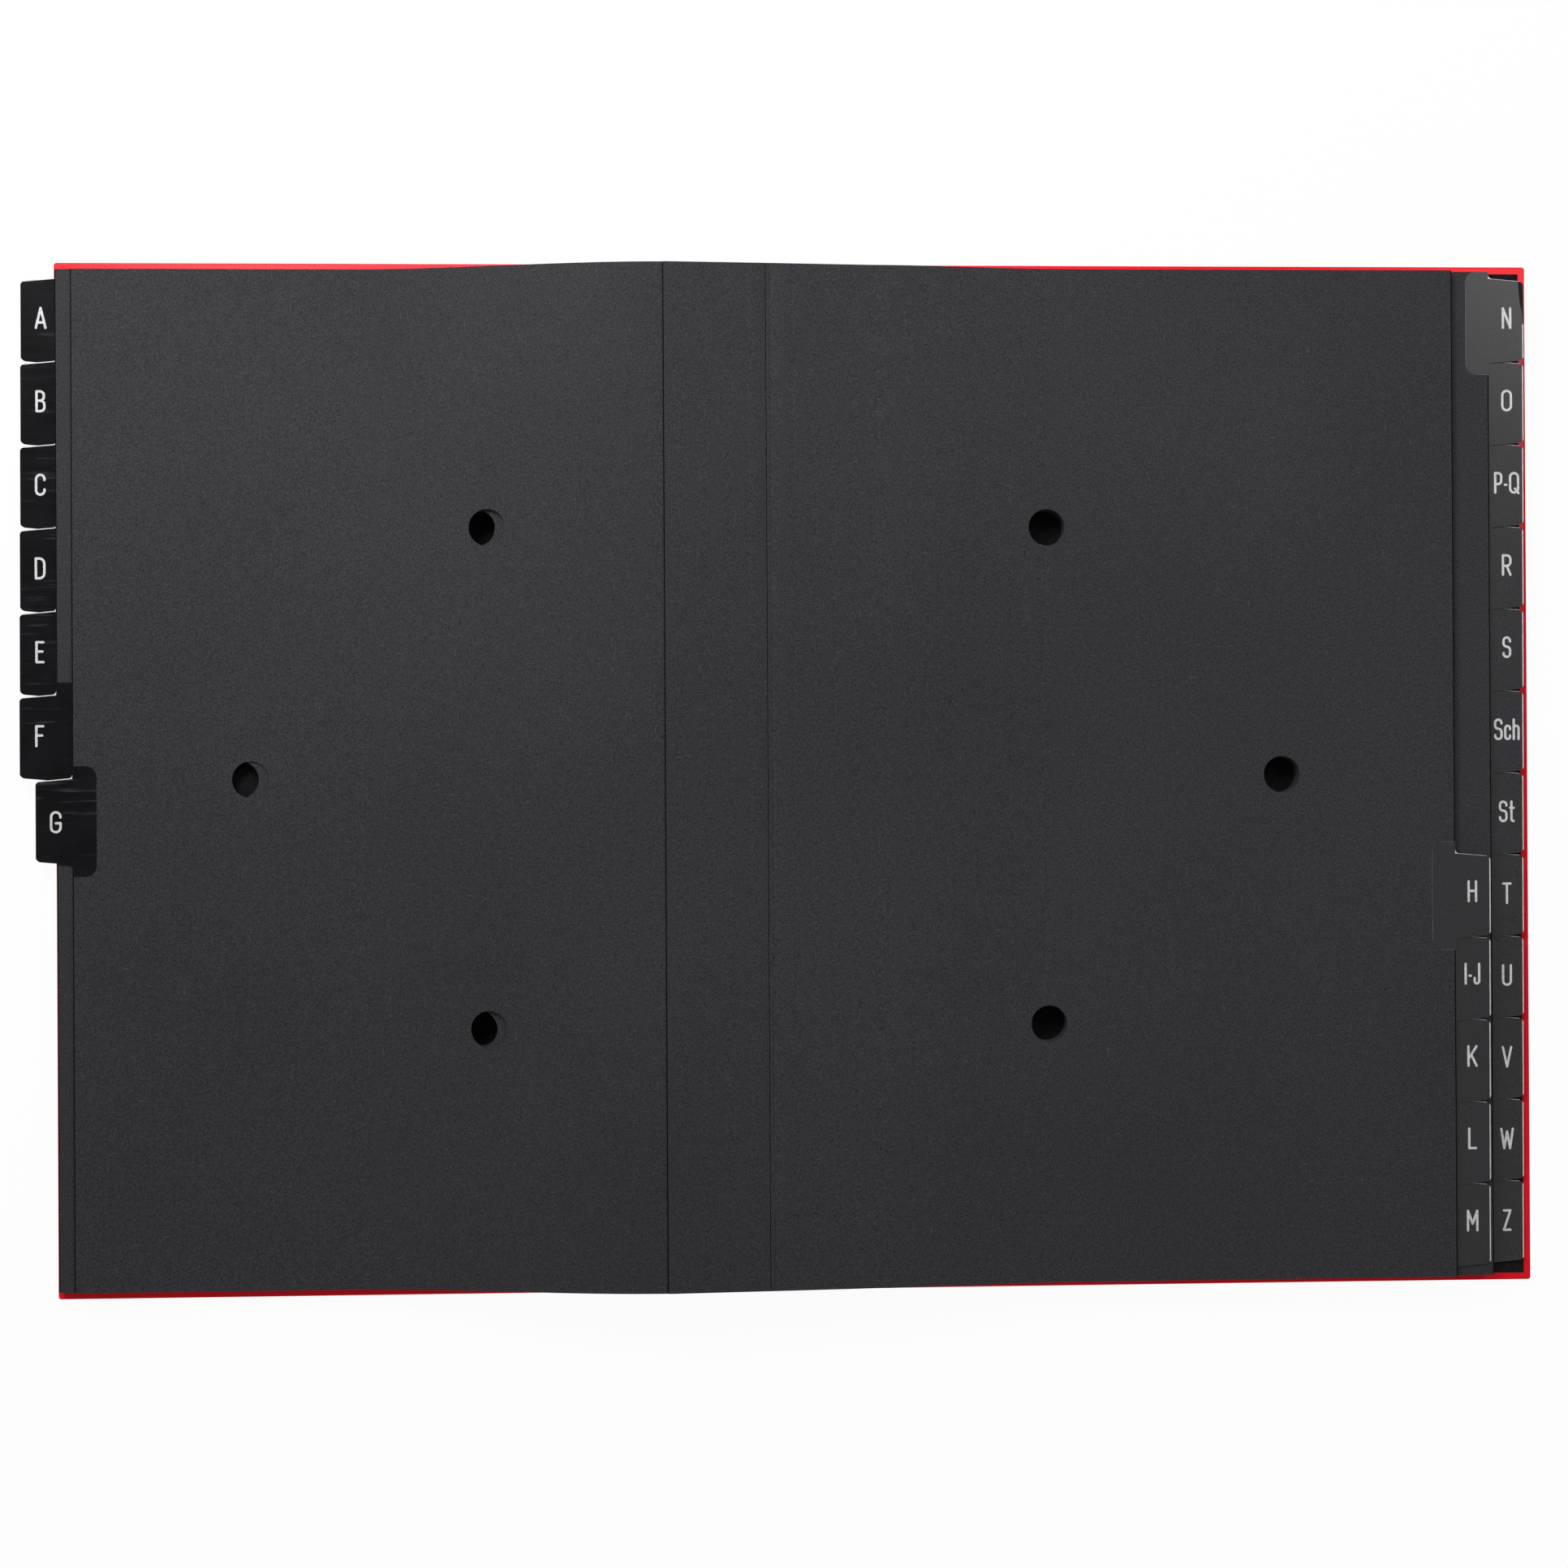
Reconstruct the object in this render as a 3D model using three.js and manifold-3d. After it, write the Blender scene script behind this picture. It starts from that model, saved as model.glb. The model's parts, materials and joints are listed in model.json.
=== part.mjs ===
// Alphabetical desk sorter, lying open between its leaves G and H.
// Twenty-four card leaves with stepped index tabs are joined spine edge to spine edge: each leaf is one sheet
// folded along a scored crease, whose narrow strip is glued to the leaf before it. Two hard covers and a pleated
// cloth spine hold the block. Millimetres: x runs across the open sorter, y up the page, z up from the table.
// Until the group is placed, x = 0 is the crease between the leaves G and H.

import * as THREE from 'three';
import { mergeVertices } from 'three/addons/utils/BufferGeometryUtils.js';
import Module from 'manifold-3d';

const wasm = await Module();
wasm.setup();

// Covers and endpapers
const coverHeight = 340;
const coverThickness = 2.2;
const coverCornerRadius = 0.8;
const boardSetback = 14; // from the open crease to the spine edge of each board
const endpaperShow = 0.5; // the endpapers reach this much past the leaves at head and foot
const endpaperThickness = 0.26;

// Pleated cloth spine
const clothThickness = 0.35;
const clothLift = 0.1; // the flaps lie this much above the table, in a rebate under each board
const clothFlapWidth = 12;
const clothClearance = 0.3;
const pleatsPerSide = 5;
const pleatHeight = 1.3;
const pleatWall = 0.5; // measured upright through a slanted pleat

// Leaves
const coverSquare = 3; // the covers stand this far proud of the leaves at head and foot
const cardThickness = 0.28;
const outerLeafReach = 240.5; // from the open crease; leaves whose tabs stand in the outer column
const openLeafBow = 0.3; // by which the leaf G falls short, bowed up under the open strip
const leftPileSlide = 4.9; // leaves A to F lie slid outward under G
const columnGap = 1.1; // the inner tabs end this much short of the outer leaves' edge
const leftPileHoleShift = 3.4;
const holeDiameter = 12;
const innerHoleDistance = 91.8; // two sight holes near the spine
const outerHoleDistance = 169.6; // one sight hole near the fore-edge
const holeOffset = 81.8; // up and down the page
const holeSides = 12;

// Folded strips
const stripWidth = 34.1;
const glueGap = 0.04;
const creaseGap = 0.15;
const creaseApex = 0.6; // doubled card at the fold
const creaseOpening = 7; // length over which the fold opens to its full gap

// Pile heights
const creaseHeight = 17.3;
const leftPitch = 0.6; // level spacing of the leaves where they lie flat
const rightPitch = 0.42;
const rightStripPitch = 0.72; // spacing at the free edges of the strips
const leftCreaseStep = 1.4; // each crease stands this much further out than the one above
const rightCreaseStep = 0.5;
const humpSlope = 0.056; // rise of the left pile from the crease to the strip's edge
const leftFlatStart = 138;
const rightFlatStart = 100;

// Tabs and their laminated film
const tabReach = 11.9;
const tabWidth = 26.2; // along the outer edge
const tabSlant = THREE.MathUtils.degToRad(5);
const tabCornerRadius = 2;
const tabTopMargin = 2.2; // from the head of the leaf to the root of the first tab
const tabFootMargin = 2.9;
const tabsPerColumn = 12;
const filmThickness = 0.04;
const filmGap = 0.02;
const filmHeight = 36;
const filmInset = 7.8;
const filmCornerRadius = 3.6;
const cornerSteps = 2;

// Heights, margins and reaches that follow from the covers, the outer leaves and their tabs
const leafHeight = coverHeight - 2 * coverSquare;
const endpaperMargin = coverSquare - endpaperShow; // red edge left bare round each endpaper
const innerLeafReach = outerLeafReach - tabReach - columnGap;
const openLeafReach = innerLeafReach - openLeafBow;
const leftPileReach = innerLeafReach + leftPileSlide;
const backCoverMargin = 2.6; // the back cover reaches past the outer tabs
const backCoverReach = outerLeafReach + tabReach + backCoverMargin;
const frontCoverMargin = 1.4; // past the left pile, so that the tabs show when the sorter is closed
const frontCoverReach = leftPileReach + frontCoverMargin;

const leftNames = ['A', 'B', 'C', 'D', 'E', 'F', 'G'];
const innerRightNames = ['H', 'I_J', 'K', 'L', 'M'];
const outerRightNames = ['N', 'O', 'P_Q', 'R', 'S', 'Sch', 'St', 'T', 'U', 'V', 'W', 'Z'];
const rightNames = [...innerRightNames, ...outerRightNames];
const left = -1;
const right = 1;

const redLaminate = new THREE.MeshStandardMaterial({ color: 0xe01c2c, roughness: 0.25, metalness: 0 });
const blackCard = new THREE.MeshStandardMaterial({ color: 0x333236, roughness: 0.7, metalness: 0 });
const blackPaper = new THREE.MeshStandardMaterial({ color: 0x232226, roughness: 0.8, metalness: 0 });
const blackFilm = new THREE.MeshStandardMaterial({ color: 0x1b1b1e, roughness: 0.3, metalness: 0 });
const blackCloth = new THREE.MeshStandardMaterial({ color: 0x1a1a1c, roughness: 0.9, metalness: 0 });

const sorter = new THREE.Group();

// Solids from outlines
function toSolid(geometry) {
  geometry.deleteAttribute('normal');
  geometry.deleteAttribute('uv');
  const merged = mergeVertices(geometry);
  const vertProperties = new Float32Array(merged.attributes.position.array);
  const triVerts = new Uint32Array(merged.index.array);
  return new wasm.Manifold(new wasm.Mesh({ numProp: 3, vertProperties, triVerts }));
}

function toGeometry(solid) {
  const cut = solid.getMesh();
  const geometry = new THREE.BufferGeometry();
  geometry.setAttribute('position', new THREE.BufferAttribute(cut.vertProperties, 3));
  geometry.setIndex(new THREE.BufferAttribute(cut.triVerts, 1));
  geometry.computeVertexNormals();
  return geometry;
}

function addPiece(name, geometry, material) {
  const piece = new THREE.Mesh(geometry, material);
  piece.name = name;
  sorter.add(piece);
}

// An outline is measured outward from the open crease and mirrored for the left side,
// where its points are taken in the other order, so that it still runs the same way round
function shapeOf(points, side, holes = []) {
  const inOrder = (list) => (side === left ? list.toReversed() : list);
  const placed = (list) => inOrder(list).map(([out, up]) => new THREE.Vector2(side * out, up));
  const shape = new THREE.Shape(placed(points));
  shape.holes = holes.map((hole) => new THREE.Path(placed(hole)));
  return shape;
}

// Section across the page (outward, up from the table), drawn out along the page
function sectionSolid(points, side, length) {
  const geometry = new THREE.ExtrudeGeometry(shapeOf(points, side), { depth: length, bevelEnabled: false });
  geometry.rotateX(Math.PI / 2);
  geometry.translate(0, length / 2, 0);
  return geometry;
}

// Outline in plan (outward, up the page), raised from one level to another
function planSolid(points, side, bottom, top, holes = []) {
  const shape = shapeOf(points, side, holes);
  const geometry = new THREE.ExtrudeGeometry(shape, { depth: top - bottom, bevelEnabled: false });
  geometry.translate(0, 0, bottom);
  return geometry;
}

// Rounds the corners of an outline, each [x, y, radius], with arcs that touch both of its edges
function rounded(corners, steps) {
  const points = [];
  corners.forEach(([x, y, radius], i) => {
    if (!radius) {
      points.push([x, y]);
      return;
    }
    const corner = new THREE.Vector2(x, y);
    const before = new THREE.Vector2(...corners.at(i - 1).slice(0, 2)).sub(corner).normalize();
    const after = new THREE.Vector2(...corners[(i + 1) % corners.length].slice(0, 2)).sub(corner).normalize();
    const half = Math.acos(THREE.MathUtils.clamp(before.dot(after), -1, 1)) / 2;
    const middle = before.clone().add(after).normalize();
    const centre = corner.clone().addScaledVector(middle, radius / Math.sin(half));
    const start = corner.clone().addScaledVector(before, radius / Math.tan(half)).sub(centre);
    const end = corner.clone().addScaledVector(after, radius / Math.tan(half)).sub(centre);
    const turn = Math.atan2(start.cross(end), start.dot(end));
    for (let s = 0; s <= steps; s += 1) {
      const spoke = start.clone().rotateAround(new THREE.Vector2(), (turn * s) / steps);
      points.push([centre.x + spoke.x, centre.y + spoke.y]);
    }
  });
  return points;
}

function circle(x, y, diameter) {
  const points = [];
  for (let s = 0; s < holeSides; s += 1) {
    const angle = (2 * Math.PI * (s + 0.5)) / holeSides;
    points.push([x + (diameter / 2) * Math.cos(angle), y + (diameter / 2) * Math.sin(angle)]);
  }
  return points;
}

function ease(t) {
  const s = THREE.MathUtils.clamp(t, 0, 1);
  return s * s * (3 - 2 * s);
}

// Levels of the two piles
const pileBase = coverThickness + endpaperThickness;
const humpAtCrease = creaseHeight - cardThickness - glueGap - pileBase - leftNames.length * leftPitch;

// Top of the left leaf number k at a distance from the crease; number 0 is the endpaper
function leftTop(k, out) {
  const near = humpAtCrease + humpSlope * Math.min(out, stripWidth);
  const fall = 1 - ease((out - stripWidth) / (leftFlatStart - stripWidth));
  return pileBase + k * leftPitch + (k / leftNames.length) * near * fall;
}

// Top of the right leaf number k, counted up from the leaf Z; number 0 is the arm of the end strip
function rightTop(k, out) {
  const creasePitch = (creaseHeight - pileBase - glueGap - cardThickness) / rightNames.length;
  const inStrip = THREE.MathUtils.lerp(creasePitch, rightStripPitch, Math.min(out / stripWidth, 1));
  const pastStrip = ease((out - stripWidth) / (rightFlatStart - stripWidth));
  return pileBase + glueGap + cardThickness + k * THREE.MathUtils.lerp(inStrip, rightPitch, pastStrip);
}

// Plan of one leaf with its tab; the tab's outer edge stops short of the film's fold
const tabHalfRoot = tabWidth / 2 + tabReach * Math.tan(tabSlant);
const tabRootRadius = Math.min(tabCornerRadius, tabTopMargin, tabFootMargin) * 0.95;
const firstTabCentre = leafHeight / 2 - tabTopMargin - tabHalfRoot;
const lastTabCentre = tabFootMargin + tabHalfRoot - leafHeight / 2;

function tabCentre(place) {
  return THREE.MathUtils.lerp(firstTabCentre, lastTabCentre, (place - 1) / (tabsPerColumn - 1));
}

function tabCorners(edge, tip, place) {
  const middle = tabCentre(place);
  return [
    [edge, middle - tabHalfRoot, tabRootRadius],
    [tip, middle - tabWidth / 2, tabCornerRadius],
    [tip, middle + tabWidth / 2, tabCornerRadius],
    [edge, middle + tabHalfRoot, tabRootRadius],
  ];
}

function leafPlan(reach, place) {
  const half = leafHeight / 2;
  const tip = reach + tabReach - filmThickness - filmGap;
  const tab = tabCorners(reach, tip, place);
  const start = -boardSetback;
  return rounded([[start, -half, 0], [reach, -half, 0], ...tab, [reach, half, 0], [start, half, 0]], cornerSteps);
}

function sightHoles(shift) {
  return [
    circle(innerHoleDistance + shift, holeOffset, holeDiameter),
    circle(innerHoleDistance + shift, -holeOffset, holeDiameter),
    circle(outerHoleDistance + shift, 0, holeDiameter),
  ];
}

// Section of a folded leaf: the glued strip, the crease and the leaf itself as one sheet.
// facing is +1 where the leaf lies above its strip and -1 where it lies below.
function foldedSection({ crease, reach, glued, inner, facing, bends }) {
  const stripInner = (out) => glued(out) + facing * cardThickness;
  const bodyInner = (out) => {
    const opening = ease((out - crease - creaseApex) / creaseOpening);
    return THREE.MathUtils.lerp(stripInner(out), inner(out), opening);
  };
  const along = (from, list) => [from, crease + creaseOpening / 2, crease + creaseOpening, ...list];
  const stripEnd = along(crease, [stripWidth]);
  const bodyEnd = along(crease, [...bends, reach]);
  const innerStrip = along(crease + creaseApex, [stripWidth]);
  const innerBody = along(crease + creaseApex, [...bends, reach]);
  return [
    ...stripEnd.toReversed().map((out) => [out, glued(out)]),
    ...bodyEnd.map((out) => [out, bodyInner(out) + facing * cardThickness]),
    ...innerBody.slice(1).toReversed().map((out) => [out, bodyInner(out)]),
    ...innerStrip.map((out) => [out, stripInner(out)]),
  ];
}

function bendsBetween(start, end, count) {
  const bends = [];
  for (let i = 0; i <= count; i += 1) {
    bends.push(start + ((end - start) * i) / count);
  }
  return bends;
}

const leftBends = bendsBetween(stripWidth, leftFlatStart, 5);
const rightBends = bendsBetween(stripWidth, rightFlatStart, 3);
const aboveEverything = creaseHeight * 2;
const trimAllowance = 12; // a section is drawn this much longer at each end, then trimmed to its plan

function addLeaf(name, side, section, reach, place, holeShift) {
  const sheet = toSolid(sectionSolid(section, side, leafHeight + 2 * trimAllowance));
  const plan = planSolid(leafPlan(reach, place), side, 0, aboveEverything, sightHoles(holeShift));
  addPiece(`leaf_${name}`, toGeometry(sheet.intersect(toSolid(plan))), blackCard);
}

// Film folded round a tab's outer edge, on both faces of the leaf
function addTabFilm(name, side, reach, place, cardTop) {
  const tip = reach + tabReach;
  const start = reach - filmInset;
  const slotTop = cardTop + filmGap;
  const slotBottom = cardTop - cardThickness - filmGap;
  const section = [
    [start, slotTop + filmThickness],
    [tip, slotTop + filmThickness],
    [tip, slotBottom - filmThickness],
    [start, slotBottom - filmThickness],
    [start, slotBottom],
    [tip - filmThickness, slotBottom],
    [tip - filmThickness, slotTop],
    [start, slotTop],
  ];
  const middle = tabCentre(place);
  const top = Math.min(middle + filmHeight / 2, leafHeight / 2);
  const bottom = Math.max(middle - filmHeight / 2, -leafHeight / 2);
  const plan = rounded([
    [start, bottom, filmCornerRadius],
    [reach, bottom, 0],
    ...tabCorners(reach, tip, place),
    [reach, top, 0],
    [start, top, filmCornerRadius],
  ], cornerSteps);
  const sleeve = toSolid(sectionSolid(section, side, leafHeight + 2 * trimAllowance));
  const patch = toSolid(planSolid(plan, side, 0, aboveEverything));
  addPiece(`tab_film_${name}`, toGeometry(sleeve.intersect(patch)), blackFilm);
}

// Left pile: the leaves A to G above the front cover
leftNames.forEach((name, i) => {
  const k = i + 1;
  const reach = k === leftNames.length ? openLeafReach : leftPileReach;
  const holeShift = k === leftNames.length ? 0 : leftPileHoleShift;
  const section = foldedSection({
    crease: creaseGap + (leftNames.length + 1 - k) * leftCreaseStep,
    reach,
    glued: (out) => leftTop(i, out) + glueGap,
    inner: (out) => leftTop(k, out) - cardThickness,
    facing: 1,
    bends: leftBends,
  });
  addLeaf(name, left, section, reach, k, holeShift);
  addTabFilm(name, left, reach, k, leftTop(k, reach));
});

// Right pile: the leaf H open on top, and I-J to Z folded back under it
rightNames.forEach((name, i) => {
  const k = rightNames.length - i;
  const inner = i < innerRightNames.length;
  const reach = inner ? innerLeafReach : outerLeafReach;
  const place = inner ? leftNames.length + 1 + i : i + 1 - innerRightNames.length;
  const top = (out) => rightTop(k, out);
  const flat = [creaseGap, ...rightBends, reach];
  const openSection = [
    ...flat.map((out) => [out, top(out)]),
    ...flat.toReversed().map((out) => [out, top(out) - cardThickness]),
  ];
  const section = i === 0 ? openSection : foldedSection({
    crease: creaseGap + i * rightCreaseStep,
    reach,
    glued: (out) => rightTop(k + 1, out) - cardThickness - glueGap,
    inner: top,
    facing: -1,
    bends: rightBends,
  });
  addLeaf(name, right, section, reach, place, 0);
  addTabFilm(name, right, reach, place, top(reach));
});

// Strip of the leaf H, glued to the back of G, on the other side of the open crease
const openStrip = [creaseGap, stripWidth].map((out) => [out, leftTop(leftNames.length, out) + glueGap]);
const openStripTop = openStrip.toReversed().map(([out, up]) => [out, up + cardThickness]);
addPiece('strip_H', sectionSolid([...openStrip, ...openStripTop], left, leafHeight), blackCard);

// Folded strip that joins the back of Z to the back endpaper
const endStripSection = foldedSection({
  crease: creaseGap + rightNames.length * rightCreaseStep,
  reach: stripWidth,
  glued: (out) => rightTop(1, out) - cardThickness - glueGap,
  inner: (out) => rightTop(0, out),
  facing: -1,
  bends: [],
});
addPiece('end_strip', sectionSolid(endStripSection, right, leafHeight), blackCard);

// Covers, with a rebate underneath for the flap of the spine cloth
function addCover(name, side, reach) {
  const rebateEnd = boardSetback + clothFlapWidth + clothClearance;
  const rebateTop = clothLift + clothThickness + glueGap;
  const section = [
    [boardSetback, rebateTop],
    [rebateEnd, rebateTop],
    [rebateEnd, 0],
    [reach, 0],
    [reach, coverThickness],
    [boardSetback, coverThickness],
  ];
  const half = coverHeight / 2;
  const plan = rounded([
    [boardSetback, -half, 0],
    [reach, -half, coverCornerRadius],
    [reach, half, coverCornerRadius],
    [boardSetback, half, 0],
  ], cornerSteps);
  const board = toSolid(sectionSolid(section, side, coverHeight + 2 * trimAllowance));
  const trim = toSolid(planSolid(plan, side, -coverThickness, coverThickness * 2));
  addPiece(name, toGeometry(board.intersect(trim)), redLaminate);
}

function addEndpaper(name, side, reach) {
  const half = coverHeight / 2 - endpaperMargin;
  const edge = reach - endpaperMargin;
  const plan = [[boardSetback, -half], [edge, -half], [edge, half], [boardSetback, half]];
  addPiece(name, planSolid(plan, side, coverThickness, pileBase), blackPaper);
}

// Half of the spine cloth: a flap under the board, then pleats up to the open crease
function addSpineCloth(name, side) {
  const firstFold = boardSetback - clothClearance;
  const folds = pleatsPerSide * 2;
  const under = [[boardSetback + clothFlapWidth, clothLift]];
  const over = [[boardSetback + clothFlapWidth, clothLift + clothThickness]];
  for (let i = 0; i <= folds; i += 1) {
    const out = THREE.MathUtils.lerp(firstFold, creaseGap, i / folds);
    const up = clothLift + (i % 2) * pleatHeight;
    under.push([out, up]);
    over.push([out, up + (i ? pleatWall : clothThickness)]);
  }
  addPiece(name, sectionSolid([...under, ...over.toReversed()], side, coverHeight), blackCloth);
}

addCover('front_cover', left, frontCoverReach);
addCover('back_cover', right, backCoverReach);
addEndpaper('front_endpaper', left, frontCoverReach);
addEndpaper('back_endpaper', right, backCoverReach);
addSpineCloth('spine_cloth_front', left);
addSpineCloth('spine_cloth_back', right);

// The origin is the middle of the whole open sorter, on the table
const leftmost = Math.max(leftPileReach + tabReach, frontCoverReach);
const rightmost = Math.max(outerLeafReach + tabReach, backCoverReach);
sorter.position.x = (leftmost - rightmost) / 2;

export default sorter;
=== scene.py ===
import json
import math

import bmesh
import bpy
from mathutils import Matrix, Vector
from mathutils.geometry import delaunay_2d_cdt


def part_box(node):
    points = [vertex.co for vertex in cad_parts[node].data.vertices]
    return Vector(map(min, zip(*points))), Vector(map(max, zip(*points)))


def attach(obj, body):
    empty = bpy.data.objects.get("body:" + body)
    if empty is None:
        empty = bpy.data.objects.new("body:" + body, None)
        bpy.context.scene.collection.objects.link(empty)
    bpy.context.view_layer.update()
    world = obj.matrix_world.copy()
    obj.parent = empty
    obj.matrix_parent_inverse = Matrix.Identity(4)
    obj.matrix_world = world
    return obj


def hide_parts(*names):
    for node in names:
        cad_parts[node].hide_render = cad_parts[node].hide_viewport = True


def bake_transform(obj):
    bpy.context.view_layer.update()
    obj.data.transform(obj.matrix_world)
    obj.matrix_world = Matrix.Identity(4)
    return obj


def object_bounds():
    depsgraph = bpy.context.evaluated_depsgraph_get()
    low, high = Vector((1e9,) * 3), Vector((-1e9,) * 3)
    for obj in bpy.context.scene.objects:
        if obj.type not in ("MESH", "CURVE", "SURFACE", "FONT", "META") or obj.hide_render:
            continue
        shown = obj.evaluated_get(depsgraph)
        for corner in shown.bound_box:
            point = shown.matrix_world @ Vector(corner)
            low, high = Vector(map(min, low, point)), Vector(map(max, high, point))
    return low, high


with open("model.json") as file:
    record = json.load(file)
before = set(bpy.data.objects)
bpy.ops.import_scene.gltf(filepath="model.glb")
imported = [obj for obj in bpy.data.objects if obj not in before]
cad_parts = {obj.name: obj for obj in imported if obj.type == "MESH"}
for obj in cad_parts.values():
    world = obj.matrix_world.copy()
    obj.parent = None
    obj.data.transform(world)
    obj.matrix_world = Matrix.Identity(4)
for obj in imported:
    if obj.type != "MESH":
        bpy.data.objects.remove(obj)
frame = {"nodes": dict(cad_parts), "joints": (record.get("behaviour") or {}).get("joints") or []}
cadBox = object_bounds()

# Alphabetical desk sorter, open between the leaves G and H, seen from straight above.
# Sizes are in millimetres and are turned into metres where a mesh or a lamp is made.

mm = 0.001
hinge = frame["joints"][0]
creaseX = hinge["pos_m"][0] / mm
creaseHeight = hinge["pos_m"][2] / mm
left, right = -1, 1
bodyOf = {left: "front_half", right: "back_half"}
bpy.context.scene.view_settings.view_transform = "Standard"


# Camera and light

camera = {
    "fromCrease": (-21.2, -4.0, 724.2),
    "turn": (0.0025, -0.0363, -0.0056),
    "lens": 50.0,
    "sensor": 36.0,
}


def addCamera():
    data = bpy.data.cameras.new("camera")
    data.lens = camera["lens"]
    data.sensor_width = camera["sensor"]
    data.clip_start = 0.01
    eye = bpy.data.objects.new("camera", data)
    bpy.context.collection.objects.link(eye)
    place = Vector(camera["fromCrease"]) + Vector((creaseX, 0, 0))
    turn = [Matrix.Rotation(angle, 4, axis) for angle, axis in zip(camera["turn"], "XYZ")]
    eye.matrix_world = Matrix.Translation(place * mm) @ turn[2] @ turn[1] @ turn[0]
    bpy.context.scene.camera = eye


studio = {
    "worldStrength": 0.16,
    "floorSize": 6000,
    "floorDrop": 0.02,
    "floorShade": 0.86,
    "floorGlow": 0.95,  # share of plain white that the camera sees, the rest takes the shadow
    "lamps": [
        {"name": "key_lamp", "place": (-320, 600, 580), "size": (500, 400), "watts": 8.2},
        {"name": "side_lamp", "place": (560, 430, 640), "size": (300, 300), "watts": 2.0},
        {"name": "front_lamp", "place": (60, -900, 150), "size": (600, 200), "watts": 2.2},
    ],
}


def seenDirectly(nodes, links, share):
    # share for what the camera, a gloss or a clear piece sees, 0 for what only gives light
    rays = nodes.new("ShaderNodeLightPath")
    total = rays.outputs["Is Camera Ray"]
    for ray in ("Is Glossy Ray", "Is Transmission Ray"):
        either = nodes.new("ShaderNodeMath")
        either.operation = "MAXIMUM"
        links.new(total, either.inputs[0])
        links.new(rays.outputs[ray], either.inputs[1])
        total = either.outputs[0]
    scaled = nodes.new("ShaderNodeMath")
    scaled.operation = "MULTIPLY"
    scaled.inputs[1].default_value = share
    links.new(total, scaled.inputs[0])
    return scaled.outputs[0]


def addWorld():
    world = bpy.data.worlds.new("studio")
    bpy.context.scene.world = world
    world.use_nodes = True
    nodes, links = world.node_tree.nodes, world.node_tree.links
    nodes.clear()
    mix = nodes.new("ShaderNodeMixShader")
    links.new(seenDirectly(nodes, links, 1.0), mix.inputs["Fac"])
    for socket, strength in ((1, studio["worldStrength"]), (2, 1.0)):
        background = nodes.new("ShaderNodeBackground")
        background.inputs["Color"].default_value = (1, 1, 1, 1)
        background.inputs["Strength"].default_value = strength
        links.new(background.outputs[0], mix.inputs[socket])
    output = nodes.new("ShaderNodeOutputWorld")
    links.new(mix.outputs[0], output.inputs["Surface"])


def addLamps():
    for lamp in studio["lamps"]:
        data = bpy.data.lights.new(lamp["name"], "AREA")
        data.shape = "RECTANGLE"
        data.size, data.size_y = (side * mm for side in lamp["size"])
        data.energy = lamp["watts"]
        source = bpy.data.objects.new(lamp["name"], data)
        bpy.context.collection.objects.link(source)
        source.location = Vector(lamp["place"]) * mm
        source.rotation_euler = (-source.location).to_track_quat("-Z", "Y").to_euler()


def addFloor():
    half = studio["floorSize"] / 2 * mm
    mesh = bpy.data.meshes.new("floor")
    corners = [(-half, -half, 0), (half, -half, 0), (half, half, 0), (-half, half, 0)]
    mesh.from_pydata(corners, [], [(0, 1, 2, 3)])
    floor = bpy.data.objects.new("floor", mesh)
    bpy.context.collection.objects.link(floor)
    floor.location.z = -studio["floorDrop"] * mm
    mesh.materials.append(floorMaterial())


def floorMaterial():
    material, nodes, links, shader = newMaterial("pale_floor")
    shader.inputs["Base Color"].default_value = (*[studio["floorShade"]] * 3, 1)
    shader.inputs["Roughness"].default_value = 0.9
    shader.inputs["Specular IOR Level"].default_value = 0.1
    glow = nodes.new("ShaderNodeEmission")
    glow.inputs["Color"].default_value = (1, 1, 1, 1)
    mix = nodes.new("ShaderNodeMixShader")
    links.new(seenDirectly(nodes, links, studio["floorGlow"]), mix.inputs["Fac"])
    links.new(shader.outputs["BSDF"], mix.inputs[1])
    links.new(glow.outputs[0], mix.inputs[2])
    links.new(mix.outputs[0], nodes["Material Output"].inputs["Surface"])
    return material


# Materials

def newMaterial(name):
    material = bpy.data.materials.new(name)
    material.use_nodes = True
    nodes, links = material.node_tree.nodes, material.node_tree.links
    return material, nodes, links, nodes["Principled BSDF"]


def addNoise(nodes, links, scale, detail=4.0, stretch=(1, 1, 1)):
    noise = nodes.new("ShaderNodeTexNoise")
    noise.inputs["Scale"].default_value = scale
    noise.inputs["Detail"].default_value = detail
    place = nodes.new("ShaderNodeTexCoord")
    mapping = nodes.new("ShaderNodeMapping")
    mapping.inputs["Scale"].default_value = stretch
    links.new(place.outputs["Object"], mapping.inputs["Vector"])
    links.new(mapping.outputs[0], noise.inputs["Vector"])
    return noise.outputs["Fac"]


def addRamp(nodes, links, source, stops):
    ramp = nodes.new("ShaderNodeValToRGB")
    elements = ramp.color_ramp.elements
    while len(elements) < len(stops):
        elements.new(0.5)
    for element, (place, colour) in zip(elements, stops):
        element.position = place
        element.color = (*colour, 1)
    links.new(source, ramp.inputs["Fac"])
    return ramp.outputs["Color"]


def addBump(nodes, links, source, depth, strength):
    bump = nodes.new("ShaderNodeBump")
    bump.inputs["Strength"].default_value = strength
    bump.inputs["Distance"].default_value = depth * mm
    links.new(source, bump.inputs["Height"])
    return bump.outputs["Normal"]


def mixColours(nodes, links, mode, share, first, second):
    mix = nodes.new("ShaderNodeMix")
    mix.data_type = "RGBA"
    mix.blend_type = mode
    for value, socket in ((share, mix.inputs[0]), (first, mix.inputs[6]), (second, mix.inputs[7])):
        if hasattr(value, "is_linked"):
            links.new(value, socket)
        else:
            socket.default_value = value
    return mix.outputs[2]


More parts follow.
